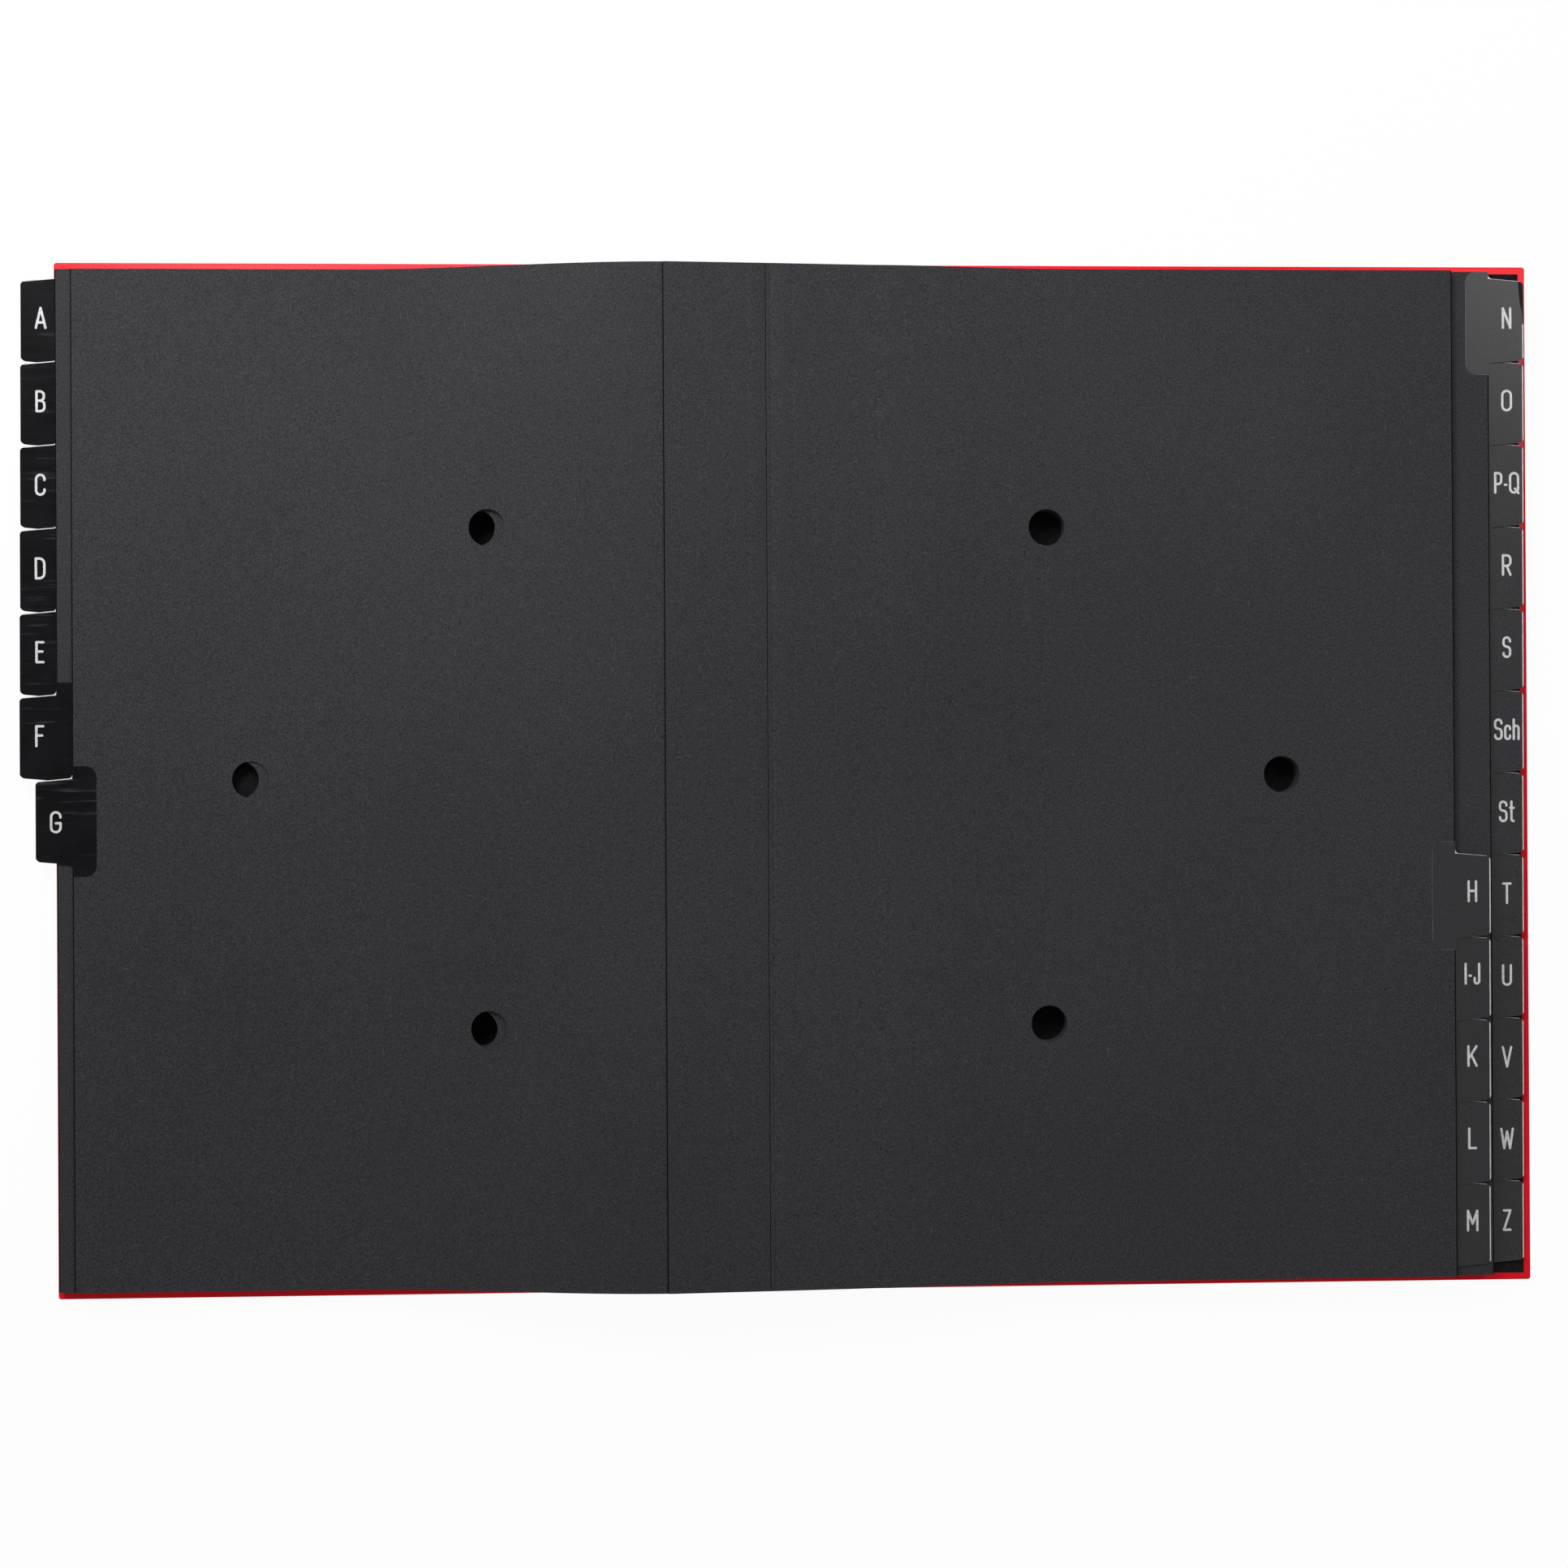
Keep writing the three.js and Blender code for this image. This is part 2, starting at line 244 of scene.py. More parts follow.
def shade(tone, amount):
    return tuple(channel * amount for channel in tone)


card = {"tone": (0.0255, 0.0251, 0.0288), "roughness": 0.62, "specular": 0.12, "grain": 0.05}
# painted shade: a dark band along each long cut edge of the cards stands for the shadow gaps beside them, on
# top of the card's own darker cut edge
cutEdgeAndShade = {"tone": (0.0045, 0.0044, 0.005), "roughness": 0.8, "specular": 0.03, "grain": 0.02, "width": 0.38}
filmFace = {"tone": (0.0128, 0.0126, 0.0146), "roughness": 0.30, "specular": 0.27, "grain": 0.02}
# painted highlight: a pale band along the edge of each film patch on the leaf, where the film's thickness
# would catch light
filmEdgeHighlight = {"tone": (0.08, 0.079, 0.086), "roughness": 0.4, "specular": 0.2, "grain": 0.02, "width": 0.16}
mottle = {"scale": 2300, "spread": 0.6, "fibre": 2.2, "fibreScale": 240, "cloudScale": 7, "cloud": 0.09}


def cardMaterial(name, finish):
    material, nodes, links, shader = newMaterial(name)
    grain = addNoise(nodes, links, mottle["scale"], 5.0)
    tone, spread, cloud = finish["tone"], mottle["spread"], mottle["cloud"]
    body = addRamp(nodes, links, grain, [(0.34, shade(tone, 1 - spread)), (0.66, shade(tone, 1 + spread))])
    patches = addNoise(nodes, links, mottle["cloudScale"], 3.0)
    broad = addRamp(nodes, links, patches, [(0.35, (1 - cloud,) * 3), (0.65, (1 + cloud,) * 3)])
    body = mixColours(nodes, links, "MULTIPLY", 1.0, body, broad)
    for stretch in ((1, 9, 1), (9, 1, 1)):
        strand = addNoise(nodes, links, mottle["fibreScale"], 2.0, stretch)
        strand = addRamp(nodes, links, strand, [(0.70, (0, 0, 0)), (0.77, (1, 1, 1))])
        body = mixColours(nodes, links, "MIX", strand, body, (*shade(tone, mottle["fibre"]), 1))
    links.new(body, shader.inputs["Base Color"])
    shader.inputs["Roughness"].default_value = finish["roughness"]
    shader.inputs["Specular IOR Level"].default_value = finish["specular"]
    links.new(addBump(nodes, links, grain, finish["grain"], 0.35), shader.inputs["Normal"])
    return material


filmBack = {"tone": (0.0044, 0.0043, 0.0052), "scratch": (0.040, 0.040, 0.044), "specular": 0.045}


def filmBackMaterial():
    material, nodes, links, shader = newMaterial("black_film_back")
    haze = addNoise(nodes, links, 90, 4.0)
    dark, pale = shade(filmBack["tone"], 0.75), shade(filmBack["tone"], 1.4)
    body = addRamp(nodes, links, haze, [(0.35, dark), (0.7, pale)])
    scratches = addNoise(nodes, links, 520, 3.0, (0.10, 1.5, 1))
    lines = addRamp(nodes, links, scratches, [(0.62, (0, 0, 0)), (0.74, (0.7,) * 3)])
    body = mixColours(nodes, links, "MIX", lines, body, (*filmBack["scratch"], 1))
    links.new(body, shader.inputs["Base Color"])
    rubbed = addRamp(nodes, links, scratches, [(0.4, (0.28,) * 3), (0.7, (0.48,) * 3)])
    links.new(rubbed, shader.inputs["Roughness"])
    shader.inputs["Specular IOR Level"].default_value = filmBack["specular"]
    links.new(addBump(nodes, links, addNoise(nodes, links, 120, 2.0), 0.05, 0.2), shader.inputs["Normal"])
    return material


# painted highlight: a pale colour along the film's fold at the tab tip and along the tab's shoulder, where
# the fold catches light
filmFoldHighlight = {"colour": (0.74, 0.68, 0.69), "roughness": 0.3}


def foldHighlightMaterial():
    material, nodes, links, shader = newMaterial("painted_fold_highlight")
    haze = addNoise(nodes, links, 300, 3.0)
    body = addRamp(nodes, links, haze, [(0.3, shade(filmFoldHighlight["colour"], 0.7)), (0.7, filmFoldHighlight["colour"])])
    links.new(body, shader.inputs["Base Color"])
    shader.inputs["Roughness"].default_value = filmFoldHighlight["roughness"]
    return material


laminate = {"deep": (0.80, 0.0045, 0.015), "bright": (0.88, 0.0070, 0.020), "roughness": 0.38, "coat": 0.06}


def laminateMaterial():
    material, nodes, links, shader = newMaterial("red_laminate")
    cloud = addNoise(nodes, links, 14, 4.0)
    body = addRamp(nodes, links, cloud, [(0.3, laminate["deep"]), (0.65, laminate["bright"])])
    links.new(body, shader.inputs["Base Color"])
    shader.inputs["Roughness"].default_value = laminate["roughness"]
    shader.inputs["Specular IOR Level"].default_value = 0.1
    shader.inputs["Coat Weight"].default_value = laminate["coat"]
    shader.inputs["Coat Roughness"].default_value = 0.2
    orangePeel = addNoise(nodes, links, 420, 3.0)
    links.new(addBump(nodes, links, orangePeel, 0.05, 0.25), shader.inputs["Normal"])
    return material


endpaper = {"dark": (0.005, 0.005, 0.006), "pale": (0.011, 0.011, 0.012)}


def paperMaterial():
    material, nodes, links, shader = newMaterial("black_endpaper")
    grain = addNoise(nodes, links, 500, 5.0)
    body = addRamp(nodes, links, grain, [(0.3, endpaper["dark"]), (0.7, endpaper["pale"])])
    links.new(body, shader.inputs["Base Color"])
    shader.inputs["Roughness"].default_value = 0.8
    shader.inputs["Specular IOR Level"].default_value = 0.06
    links.new(addBump(nodes, links, grain, 0.04, 0.3), shader.inputs["Normal"])
    return material


cloth = {"threadsPerMetre": 2600, "dark": (0.006, 0.006, 0.007), "pale": (0.022, 0.022, 0.024)}


def clothMaterial():
    material, nodes, links, shader = newMaterial("black_bookcloth")
    place = nodes.new("ShaderNodeTexCoord")
    weave = nodes.new("ShaderNodeMath")
    weave.operation = "MULTIPLY"
    for socket, direction in enumerate(("X", "Y")):
        thread = nodes.new("ShaderNodeTexWave")
        thread.bands_direction = direction
        # threads in a metre, turned into the scale of the wave pattern
        thread.inputs["Scale"].default_value = cloth["threadsPerMetre"] / 3.18
        thread.inputs["Distortion"].default_value = 0.6
        links.new(place.outputs["Object"], thread.inputs["Vector"])
        links.new(thread.outputs["Fac"], weave.inputs[socket])
    body = addRamp(nodes, links, weave.outputs[0], [(0.1, cloth["dark"]), (0.8, cloth["pale"])])
    links.new(body, shader.inputs["Base Color"])
    shader.inputs["Roughness"].default_value = 0.85
    shader.inputs["Sheen Weight"].default_value = 0.15
    links.new(addBump(nodes, links, weave.outputs[0], 0.12, 0.6), shader.inputs["Normal"])
    return material


ink = {"light": (0.60, 0.60, 0.61), "worn": (0.46, 0.46, 0.47)}


def inkMaterial():
    material, nodes, links, shader = newMaterial("silver_ink")
    rub = addNoise(nodes, links, 900, 4.0)
    body = addRamp(nodes, links, rub, [(0.32, ink["worn"]), (0.55, ink["light"])])
    links.new(body, shader.inputs["Base Color"])
    shader.inputs["Roughness"].default_value = 0.45
    return material


# Sheet meshes: a flat outline in (along, up the page), cut into rows and bent along a path

def ease(t):
    s = min(max(t, 0.0), 1.0)
    return s * s * (3 - 2 * s)


def lerp(a, b, t):
    return a + (b - a) * t


def arcCorner(before, corner, after, radius, steps):
    corner = Vector(corner)
    one = (Vector(before) - corner).normalized()
    two = (Vector(after) - corner).normalized()
    half = one.angle(two) / 2
    centre = corner + (one + two).normalized() * radius / math.sin(half)
    start = corner + one * radius / math.tan(half) - centre
    end = corner + two * radius / math.tan(half) - centre
    turn = math.atan2(start.x * end.y - start.y * end.x, start.dot(end))
    spokes = [Matrix.Rotation(turn * i / steps, 2) @ start for i in range(steps + 1)]
    return [tuple(centre + spoke) for spoke in spokes]


def rounded(corners, steps=8):
    points = []
    for i, (x, y, radius) in enumerate(corners):
        if radius:
            after = corners[(i + 1) % len(corners)]
            points += arcCorner(corners[i - 1][:2], (x, y), after[:2], radius, steps)
        else:
            points.append((x, y))
    return points


def circle(x, y, radius, steps):
    angles = [2 * math.pi * i / steps for i in range(steps)]
    return [(x + radius * math.cos(a), y + radius * math.sin(a)) for a in angles]


def spaced(start, end, step):
    count = max(int(abs(end - start) / step), 1)
    return [lerp(start, end, i / count) for i in range(count + 1)]


def addObject(name, mesh, materials):
    for material in materials:
        mesh.materials.append(material)
    piece = bpy.data.objects.new(name, mesh)
    bpy.context.collection.objects.link(piece)
    return piece


def bentSheet(name, loops, rows, path, wall, materials, pick=lambda s, y: 0, cuts=()):
    # path(s) gives (x, z) of the sheet's middle, pick(s, y) the number of its material
    flat = bmesh.new()
    edges = []
    for loop in loops:
        ring = [flat.verts.new((s, y, 0)) for s, y in loop]
        edges += [flat.edges.new((ring[i - 1], ring[i])) for i in range(len(ring))]
    bmesh.ops.triangle_fill(flat, use_beauty=True, edges=edges, normal=(0, 0, 1))
    for point, normal in [((row, 0, 0), (1, 0, 0)) for row in rows] + list(cuts):
        everything = flat.verts[:] + flat.edges[:] + flat.faces[:]
        bmesh.ops.bisect_plane(flat, geom=everything, dist=1e-4, plane_co=point, plane_no=normal)
    bmesh.ops.recalc_face_normals(flat, faces=flat.faces[:])
    solid = bmesh.new()
    pairs = {}
    for vertex in flat.verts:
        s, y = vertex.co.x, vertex.co.y
        (x0, z0), (x, z), (x1, z1) = path(s - 0.01), path(s), path(s + 0.01)
        across = Vector((z0 - z1, 0, x1 - x0)).normalized() * wall / 2
        pairs[vertex] = [solid.verts.new((Vector((x, y, z)) + side * across) * mm) for side in (1, -1)]
    for face in flat.faces:
        centre = face.calc_center_median()
        around = list(face.verts)
        for side, order in ((0, around), (1, around[::-1])):
            made = solid.faces.new([pairs[vertex][side] for vertex in order])
            made.material_index = pick(centre.x, centre.y)
    for edge in flat.edges:
        if len(edge.link_faces) == 1:
            a, b = edge.verts
            made = solid.faces.new([pairs[b][0], pairs[a][0], pairs[a][1], pairs[b][1]])
            centre = (a.co + b.co) / 2
            made.material_index = pick(centre.x, centre.y)
    bmesh.ops.recalc_face_normals(solid, faces=solid.faces[:])
    mesh = bpy.data.meshes.new(name)
    solid.to_mesh(mesh)
    flat.free()
    solid.free()
    piece = addObject(name, mesh, materials)
    mesh.shade_smooth()
    mesh.set_sharp_from_angle(angle=math.radians(35))
    return piece


# Leaves

leaf = {
    "height": 334.0,
    "card": 0.28,
    "glueGap": 0.04,
    "stripWidth": 34.1,
    "creaseGap": 0.15,
    "creaseOpening": 7.0,
    "holeRadius": 6.0,
    "innerHole": (91.8, 81.8),
    "outerHole": 169.6,
    "pileHoleShift": 3.4,
    "humpSlope": 0.056,
    "leftFlatStart": 138.0,
    "rightFlatStart": 100.0,
    "rightStripPitch": 0.72,
    "leftCreaseStep": 1.4,
    "rightCreaseStep": 0.5,
}
tab = {"reach": 11.9, "width": 26.2, "slant": math.radians(5), "corner": 2.0, "root": 1.33, "places": 12,
       "margins": (2.2, 2.9)}
# the sleeve also gives the widths of the painted highlights along the fold and along the shoulder
sleeve = {"wall": 0.04, "gap": 0.02, "height": 36.0, "inset": 7.8, "corner": 3.6, "foldHighlight": 0.52,
          "cardShort": 0.5, "shoulderHighlight": {left: 0.32, right: 0.1}}

leftNames = ["A", "B", "C", "D", "E", "F", "G"]
innerNames = ["H", "I_J", "K", "L", "M"]
outerNames = ["N", "O", "P_Q", "R", "S", "Sch", "St", "T", "U", "V", "W", "Z"]
rightNames = innerNames + outerNames
sleeveWall = sleeve["wall"] + sleeve["gap"]
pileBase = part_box("front_endpaper")[1][2] / mm


def leafReach(name, side):
    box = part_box("tab_film_" + name)
    tip = box[1][0] if side == right else -box[0][0]
    return tip / mm - side * creaseX - tab["reach"]


def flatLevel(name):
    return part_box("tab_film_" + name)[1][2] / mm - sleeveWall


leftFlat = [pileBase] + [flatLevel(name) for name in leftNames]
rightFlatTop = flatLevel(rightNames[0])


def leftTop(k, out):
    last = len(leftNames)
    atCrease = creaseHeight - leaf["card"] - leaf["glueGap"] - leftFlat[last]
    near = atCrease + leaf["humpSlope"] * min(out, leaf["stripWidth"])
    fall = 1 - ease((out - leaf["stripWidth"]) / (leaf["leftFlatStart"] - leaf["stripWidth"]))
    return leftFlat[k] + k / last * near * fall


def rightTop(k, out):
    low = pileBase + leaf["glueGap"] + leaf["card"]
    creasePitch = (creaseHeight - low) / len(rightNames)
    flatPitch = (rightFlatTop - low) / len(rightNames)
    inStrip = lerp(creasePitch, leaf["rightStripPitch"], min(out / leaf["stripWidth"], 1))
    past = ease((out - leaf["stripWidth"]) / (leaf["rightFlatStart"] - leaf["stripWidth"]))
    return low + k * lerp(inStrip, flatPitch, past)


halfRoot = tab["width"] / 2 + tab["reach"] * math.tan(tab["slant"])


def tabCentre(place):
    first = leaf["height"] / 2 - tab["margins"][0] - halfRoot
    last = tab["margins"][1] + halfRoot - leaf["height"] / 2
    return lerp(first, last, (place - 1) / (tab["places"] - 1))


def tabCorners(edge, tip, place):
    middle = tabCentre(place)
    return [
        (edge, middle - halfRoot, tab["root"]),
        (tip, middle - tab["width"] / 2, tab["corner"]),
        (tip, middle + tab["width"] / 2, tab["corner"]),
        (edge, middle + halfRoot, tab["root"]),
    ]


def leafLoops(start, reach, place, holeShift):
    half = leaf["height"] / 2
    tabEdge = tabCorners(reach, reach + tab["reach"] - sleeve["cardShort"], place)
    corners = [(start, -half, 0.6), (reach, -half, 0.5), *tabEdge, (reach, half, 0.5), (start, half, 0.6)]
    innerX, innerY = leaf["innerHole"]
    holes = [(innerX, innerY), (innerX, -innerY), (leaf["outerHole"], 0)]
    return [rounded(corners)] + [circle(x + holeShift, y, leaf["holeRadius"], 56) for x, y in holes]


def addCard(name, loops, rows, path, start, edge, score=()):
    # the sheet is darker along its two long cut edges and in the score: the card's own dark cut edge, with
    # painted shade beside it for the shadow gaps there and in the score
    width = cutEdgeAndShade["width"]
    bands = [(start, start + width), (edge - width, edge), *score]
    rows = rows + [limit for band in bands for limit in band]
    return bentSheet(name, loops, rows, path, leaf["card"], [finishes["card"], finishes["cutEdgeAndShade"]],
                     lambda s, y: int(any(low < s < high for low, high in bands)))


def foldPath(side, crease, glued, inner, facing):
    # one sheet from the free edge of its strip (s below 0), round the crease, to its fore-edge
    half = leaf["card"] / 2
    bend = math.pi * half / 2

    def stripMiddle(out):
        return glued(out) + facing * half

    def bodyMiddle(out):
        opening = ease((out - crease) / leaf["creaseOpening"])
        return lerp(stripMiddle(out) + facing * 2 * half, inner(out) + facing * half, opening)

    def path(s):
        if abs(s) < bend:
            angle = s / half
            rise = (stripMiddle(crease) + bodyMiddle(crease)) / 2 + facing * half * math.sin(angle)
            return creaseX + side * (crease - half * math.cos(angle)), rise
        out = crease + abs(s) - bend
        return creaseX + side * out, bodyMiddle(out) if s > 0 else stripMiddle(out)

    return path, bend


def addFoldedLeaf(name, side, crease, place, holeShift, glued, inner, facing, bendEnd):
    path, bend = foldPath(side, crease, glued, inner, facing)
    offset = bend - crease
    strip = leaf["stripWidth"]
    flat = leafLoops(2 * (crease - bend) - strip, leafReach(name, side), place, holeShift)
    loops = [[(out + offset, y) for out, y in loop] for loop in flat]
    rows = spaced(-bend, bend, bend / 3) + [-(strip - crease) / 2, -1, -2, -4]
    rows += [out + offset for out in spaced(crease + 1, strip, 2.5) + spaced(strip, bendEnd, 3)]
    start, edge = crease - bend - strip, leafReach(name, side) + offset
    piece = addCard("card_leaf_" + name, loops, rows, path, start, edge)
    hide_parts("leaf_" + name)
    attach(piece, bodyOf[side])


def addLeftLeaves():
    last = len(leftNames)
    for i, name in enumerate(leftNames):
        k = i + 1
        addFoldedLeaf(
            name, left, leaf["creaseGap"] + (last + 1 - k) * leaf["leftCreaseStep"], k,
            0 if k == last else leaf["pileHoleShift"],
            lambda out, i=i: leftTop(i, out) + leaf["glueGap"],
            lambda out, k=k: leftTop(k, out) - leaf["card"], 1, leaf["leftFlatStart"],
        )


def addRightLeaves():
    for i, name in enumerate(rightNames[1:], start=1):
        k = len(rightNames) - i
        place = len(leftNames) + 1 + i if i < len(innerNames) else i + 1 - len(innerNames)
        addFoldedLeaf(
            name, right, leaf["creaseGap"] + i * leaf["rightCreaseStep"], place, 0,
            lambda out, k=k: rightTop(k + 1, out) - leaf["card"] - leaf["glueGap"],
            lambda out, k=k: rightTop(k, out), -1, leaf["rightFlatStart"],
        )


# The open sheet: leaf H with its strip, scored along the crease

openSheet = {
    # place, depth and half width of each score
    "scores": [(-0.65, 0.13, 0.30), (0.76, 0.13, 0.30), (-6.9, 0.05, 0.30), (8.2, 0.05, 0.30)],
    "line": (-0.82, -0.48),  # painted shade in the bottom of the score at the crease
    "blend": 1.6,
}


def addOpenSheet():
    last, wall = len(leftNames), leaf["card"]

    def path(s):
        if s < 0:
            z = leftTop(last, -s) + leaf["glueGap"] + wall / 2
        else:
            z = rightTop(len(rightNames), s) - wall / 2
        for place, depth, width in openSheet["scores"]:
            z -= depth * max(0.0, 1 - abs(s - place) / width)
        return creaseX + s, z

    start, edge = -leaf["stripWidth"], leafReach("H", right)
    loops = leafLoops(start, edge, len(leftNames) + 1, 0)
    steps = (-2, -1, 0, 1, 2)
    rows = [place + width * step / 2 for place, depth, width in openSheet["scores"] for step in steps]
    rows += [0, -0.3, 0.35] + spaced(start, -8, 2.5) + spaced(9, leaf["rightFlatStart"], 2.5)
    sheet = addCard("open_card_H", loops, rows, path, start, edge, [openSheet["line"]])
    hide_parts("leaf_H", "strip_H")
    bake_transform(sheet)


def addEndStrip():
    crease = leaf["creaseGap"] + len(rightNames) * leaf["rightCreaseStep"]
    path, bend = foldPath(
        right, crease,
        lambda out: rightTop(1, out) - leaf["card"] - leaf["glueGap"],
        lambda out: rightTop(0, out), -1,
    )
    half, width = leaf["height"] / 2, leaf["stripWidth"] - crease + bend
    rows = spaced(-bend, bend, bend / 3) + [-4, -2, -1, 1, 2, 4, 7]
    outline = [(-width, -half), (width, -half), (width, half), (-width, half)]
    piece = bentSheet("end_strip_card", [outline], rows, path, leaf["card"], [finishes["card"]])
    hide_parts("end_strip")
    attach(piece, "back_half")


# Laminating film folded round each tab; its front shows on the right pile and its black back on the left one

def addTabFilm(name, side, place):
    reach = leafReach(name, side)
    tip = reach + tab["reach"] - sleeve["wall"] / 2
    top = flatLevel(name)
    middleZ = top - leaf["card"] / 2
    radius = (leaf["card"] + 2 * sleeve["gap"] + sleeve["wall"]) / 2
    bend = math.pi * radius / 2
    fold = tip - radius + bend

    def path(s):
        if abs(s) < bend:
            angle = s / radius
            out = tip - radius + radius * math.cos(angle)
            return creaseX + side * out, middleZ - radius * math.sin(angle)
        return creaseX + side * (fold - abs(s)), middleZ - math.copysign(radius, s)

    middle = tabCentre(place)
    head = min(middle + sleeve["height"] / 2, leaf["height"] / 2)
    foot = max(middle - sleeve["height"] / 2, -leaf["height"] / 2)
    start = reach - sleeve["inset"]
    face = rounded([
        (start, foot, sleeve["corner"]), (reach, foot, 0), *tabCorners(reach, fold, place),
        (reach, head, 0), (start, head, sleeve["corner"]),
    ])
    half = [(out - fold, y) for out, y in face]
    tipStart = next(i for i, (s, y) in enumerate(half) if s > -1e-4)
    tipEnd = len(half) - 1 - next(i for i, (s, y) in enumerate(reversed(half)) if s > -1e-4)
    far = [(-s, y) for s, y in half]
    cut = half[: tipStart + 1] + far[:tipStart][::-1] + far[tipEnd + 1:][::-1] + half[tipEnd:]

    shoulder = middle + tab["width"] / 2
    # the band at the shoulder and the band along the fold are painted highlights
    slant, line, outline = tab["slant"], sleeve["shoulderHighlight"][side], filmEdgeHighlight["width"]
    highlightTop = shoulder - (shadowSliver["length"] if name == shadowSliver["leaf"] else 0)
    topFace, underFace = (1, 0) if side == left else (0, 1)

    def pick(s, y):
        # numbers in materials: 0 face, 1 back, 2 painted highlight along the fold and the shoulder, 3 painted
        # highlight along the edge of the patch on the leaf
        onFold = side == right and abs(s) < sleeve["foldHighlight"] and y < highlightTop
        onShoulder = abs(s) < fold - reach and y > shoulder + abs(s) * math.tan(slant) - line
        if onFold or onShoulder:
            return 2
        shown = topFace if s < 0 else underFace
        nearEnd = abs(s) > fold - start - outline or not foot + outline < y < head - outline
        return 3 if shown == 0 and abs(s) > fold - reach and nearEnd else shown

    cuts = [((0, shoulder - line, 0), (turn * math.sin(slant), math.cos(slant), 0)) for turn in (1, -1)]
    cuts += [((0, level, 0), (0, 1, 0)) for level in (highlightTop, head - outline, foot + outline)]
    bounds = [sleeve["foldHighlight"], fold - reach, fold - start - outline]
    rows = bounds + [-bound for bound in bounds] + spaced(-bend, bend, bend / 3)
    materials = [finishes["filmFace"], finishes["filmBack"], finishes["foldHighlight"], finishes["filmEdgeHighlight"]]
    piece = bentSheet("film_" + name, [cut], rows, path, sleeve["wall"], materials, pick, cuts)
    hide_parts("tab_film_" + name)
    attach(piece, bodyOf[side])
    shape = letterShape(name)
    inward, up = letterPlaces[name]
    up += middle + letter["creep"] * (tab["places"] - place) / (tab["places"] - 1)
    addLetter(name, side, shape, tip - inward, up, top + sleeveWall, 1)
    addLetter(name, side, shape, tip - inward, up, top - leaf["card"] - sleeveWall, -1)


# Painted shadow: a thin sheet of the black back film lies at the upper outer corner of N's front film, where
# a shadow falls

shadowSliver = {
    "leaf": "N",
    "length": 14.2,
    "edge": 0.22,
    "corner": 1.5,
    "wall": 0.02,
    "lift": 0.004,
    # in from the tip and down from the shoulder
    "line": [(1.8, -0.1), (1.6, 3.6), (1.15, 7.4), (0.5, 10.5)],
}


def addShadowSliver():
    tip = leafReach(shadowSliver["leaf"], right) + tab["reach"]
    shoulder = tabCentre(1) + tab["width"] / 2
    outer = tip - shadowSliver["edge"]
    corners = [(outer, shoulder - shadowSliver["length"], 0), (outer, shoulder - shadowSliver["edge"], shadowSliver["corner"])]
    corners += [(tip - inset, shoulder - drop, 0) for inset, drop in shadowSliver["line"]]
    level = flatLevel(shadowSliver["leaf"]) + sleeveWall + shadowSliver["lift"] + shadowSliver["wall"] / 2
    piece = bentSheet("painted_shadow_sliver_N", [rounded(corners)], [], lambda s: (creaseX + s, level), shadowSliver["wall"],
                      [finishes["filmBack"]])
    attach(piece, "back_half")


# Index letters, printed in round-ended strokes on both faces of each film

letter = {"height": 7.25, "stroke": 0.78, "gap": 0.48, "lift": 0.012, "wall": 0.012, "arcSteps": 5,
          "endSteps": 14, "creep": 0.8}

# From the tip inward and from the tab's middle up, to the middle of its letters
letterPlaces = {
    **dict.fromkeys(leftNames, (6.55, 0.15)),
    **dict.fromkeys(innerNames, (6.2, 1.15)),
    **dict.fromkeys(outerNames, (5.7, 0.15)),
    "G": (6.55, -0.55),
}

